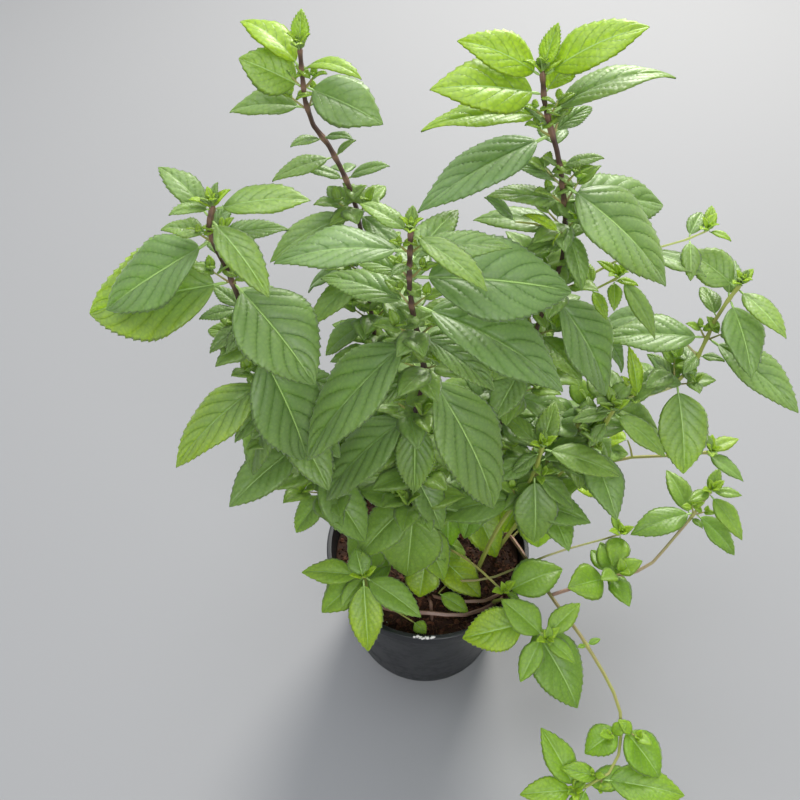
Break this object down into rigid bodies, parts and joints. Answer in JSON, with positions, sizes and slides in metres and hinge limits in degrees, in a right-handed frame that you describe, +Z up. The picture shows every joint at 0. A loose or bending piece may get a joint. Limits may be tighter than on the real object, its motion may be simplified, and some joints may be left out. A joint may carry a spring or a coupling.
{
  "type": "potted peppermint plant",
  "caption": "Leafy peppermint plant with upright shoots and trailing runners, growing in potting mix in a round black nursery pot.",
  "frame": {"origin": "centre of the pot's flat underside, on the surface that the pot stands on", "axes": "+Z up along the pot's axis; -Y towards the side that the trailing front runner hangs over; +X to the right of that view"},
  "size_m": [0.3319, 0.2076, 0.4148],
  "materials": {
    "pot": "satin",
    "soil": "matte",
    "stem": "satin",
    "leaf": "satin"
  },
  "bodies": {
    "root": {"pot": "pot", "soil": "soil", "stem_back_left": "stem", "leaves_back_left_1": "leaf", "leaves_back_left_2": "leaf", "leaves_back_left_3": "leaf", "leaves_back_left_4": "leaf", "leaves_back_left_5": "leaf", "stem_left": "stem", "leaves_left_1": "leaf", "leaves_left_2": "leaf", "leaves_left_3": "leaf", "leaves_left_4": "leaf", "leaves_left_5": "leaf", "leaves_left_6": "leaf", "stem_centre": "stem", "leaves_centre_1": "leaf", "leaves_centre_2": "leaf", "leaves_centre_3": "leaf", "leaves_centre_4": "leaf", "leaves_centre_5": "leaf", "leaves_centre_6": "leaf", "leaves_centre_7": "leaf", "leaves_centre_8": "leaf", "stem_back_right": "stem", "leaves_back_right_1": "leaf", "leaves_back_right_2": "leaf", "leaves_back_right_3": "leaf", "leaves_back_right_4": "leaf", "leaves_back_right_5": "leaf", "leaves_back_right_6": "leaf", "leaves_back_right_7": "leaf", "leaves_back_right_8": "leaf", "stem_right": "stem", "leaves_right_1": "leaf", "leaves_right_2": "leaf", "leaves_right_3": "leaf", "leaves_right_4": "leaf", "stem_inner_right": "stem", "leaves_inner_right_1": "leaf", "stem_middle": "stem", "leaves_middle_1": "leaf", "leaves_middle_2": "leaf", "stem_low_right": "stem", "leaves_low_right_1": "leaf", "stem_runner_front": "stem", "leaves_runner_front_1": "leaf", "leaves_runner_front_2": "leaf", "leaves_runner_front_3": "leaf", "stem_runner_right": "stem", "leaves_runner_right_1": "leaf", "leaves_runner_right_2": "leaf", "leaves_runner_right_3": "leaf", "stem_runner_thin": "stem", "stem_rim_front": "stem", "leaves_rim_front_1": "leaf", "leaves_rim_front_2": "leaf", "stem_rim_left": "stem", "leaves_rim_left_1": "leaf", "leaves_rim_left_2": "leaf"}
  },
  "joints": []
}
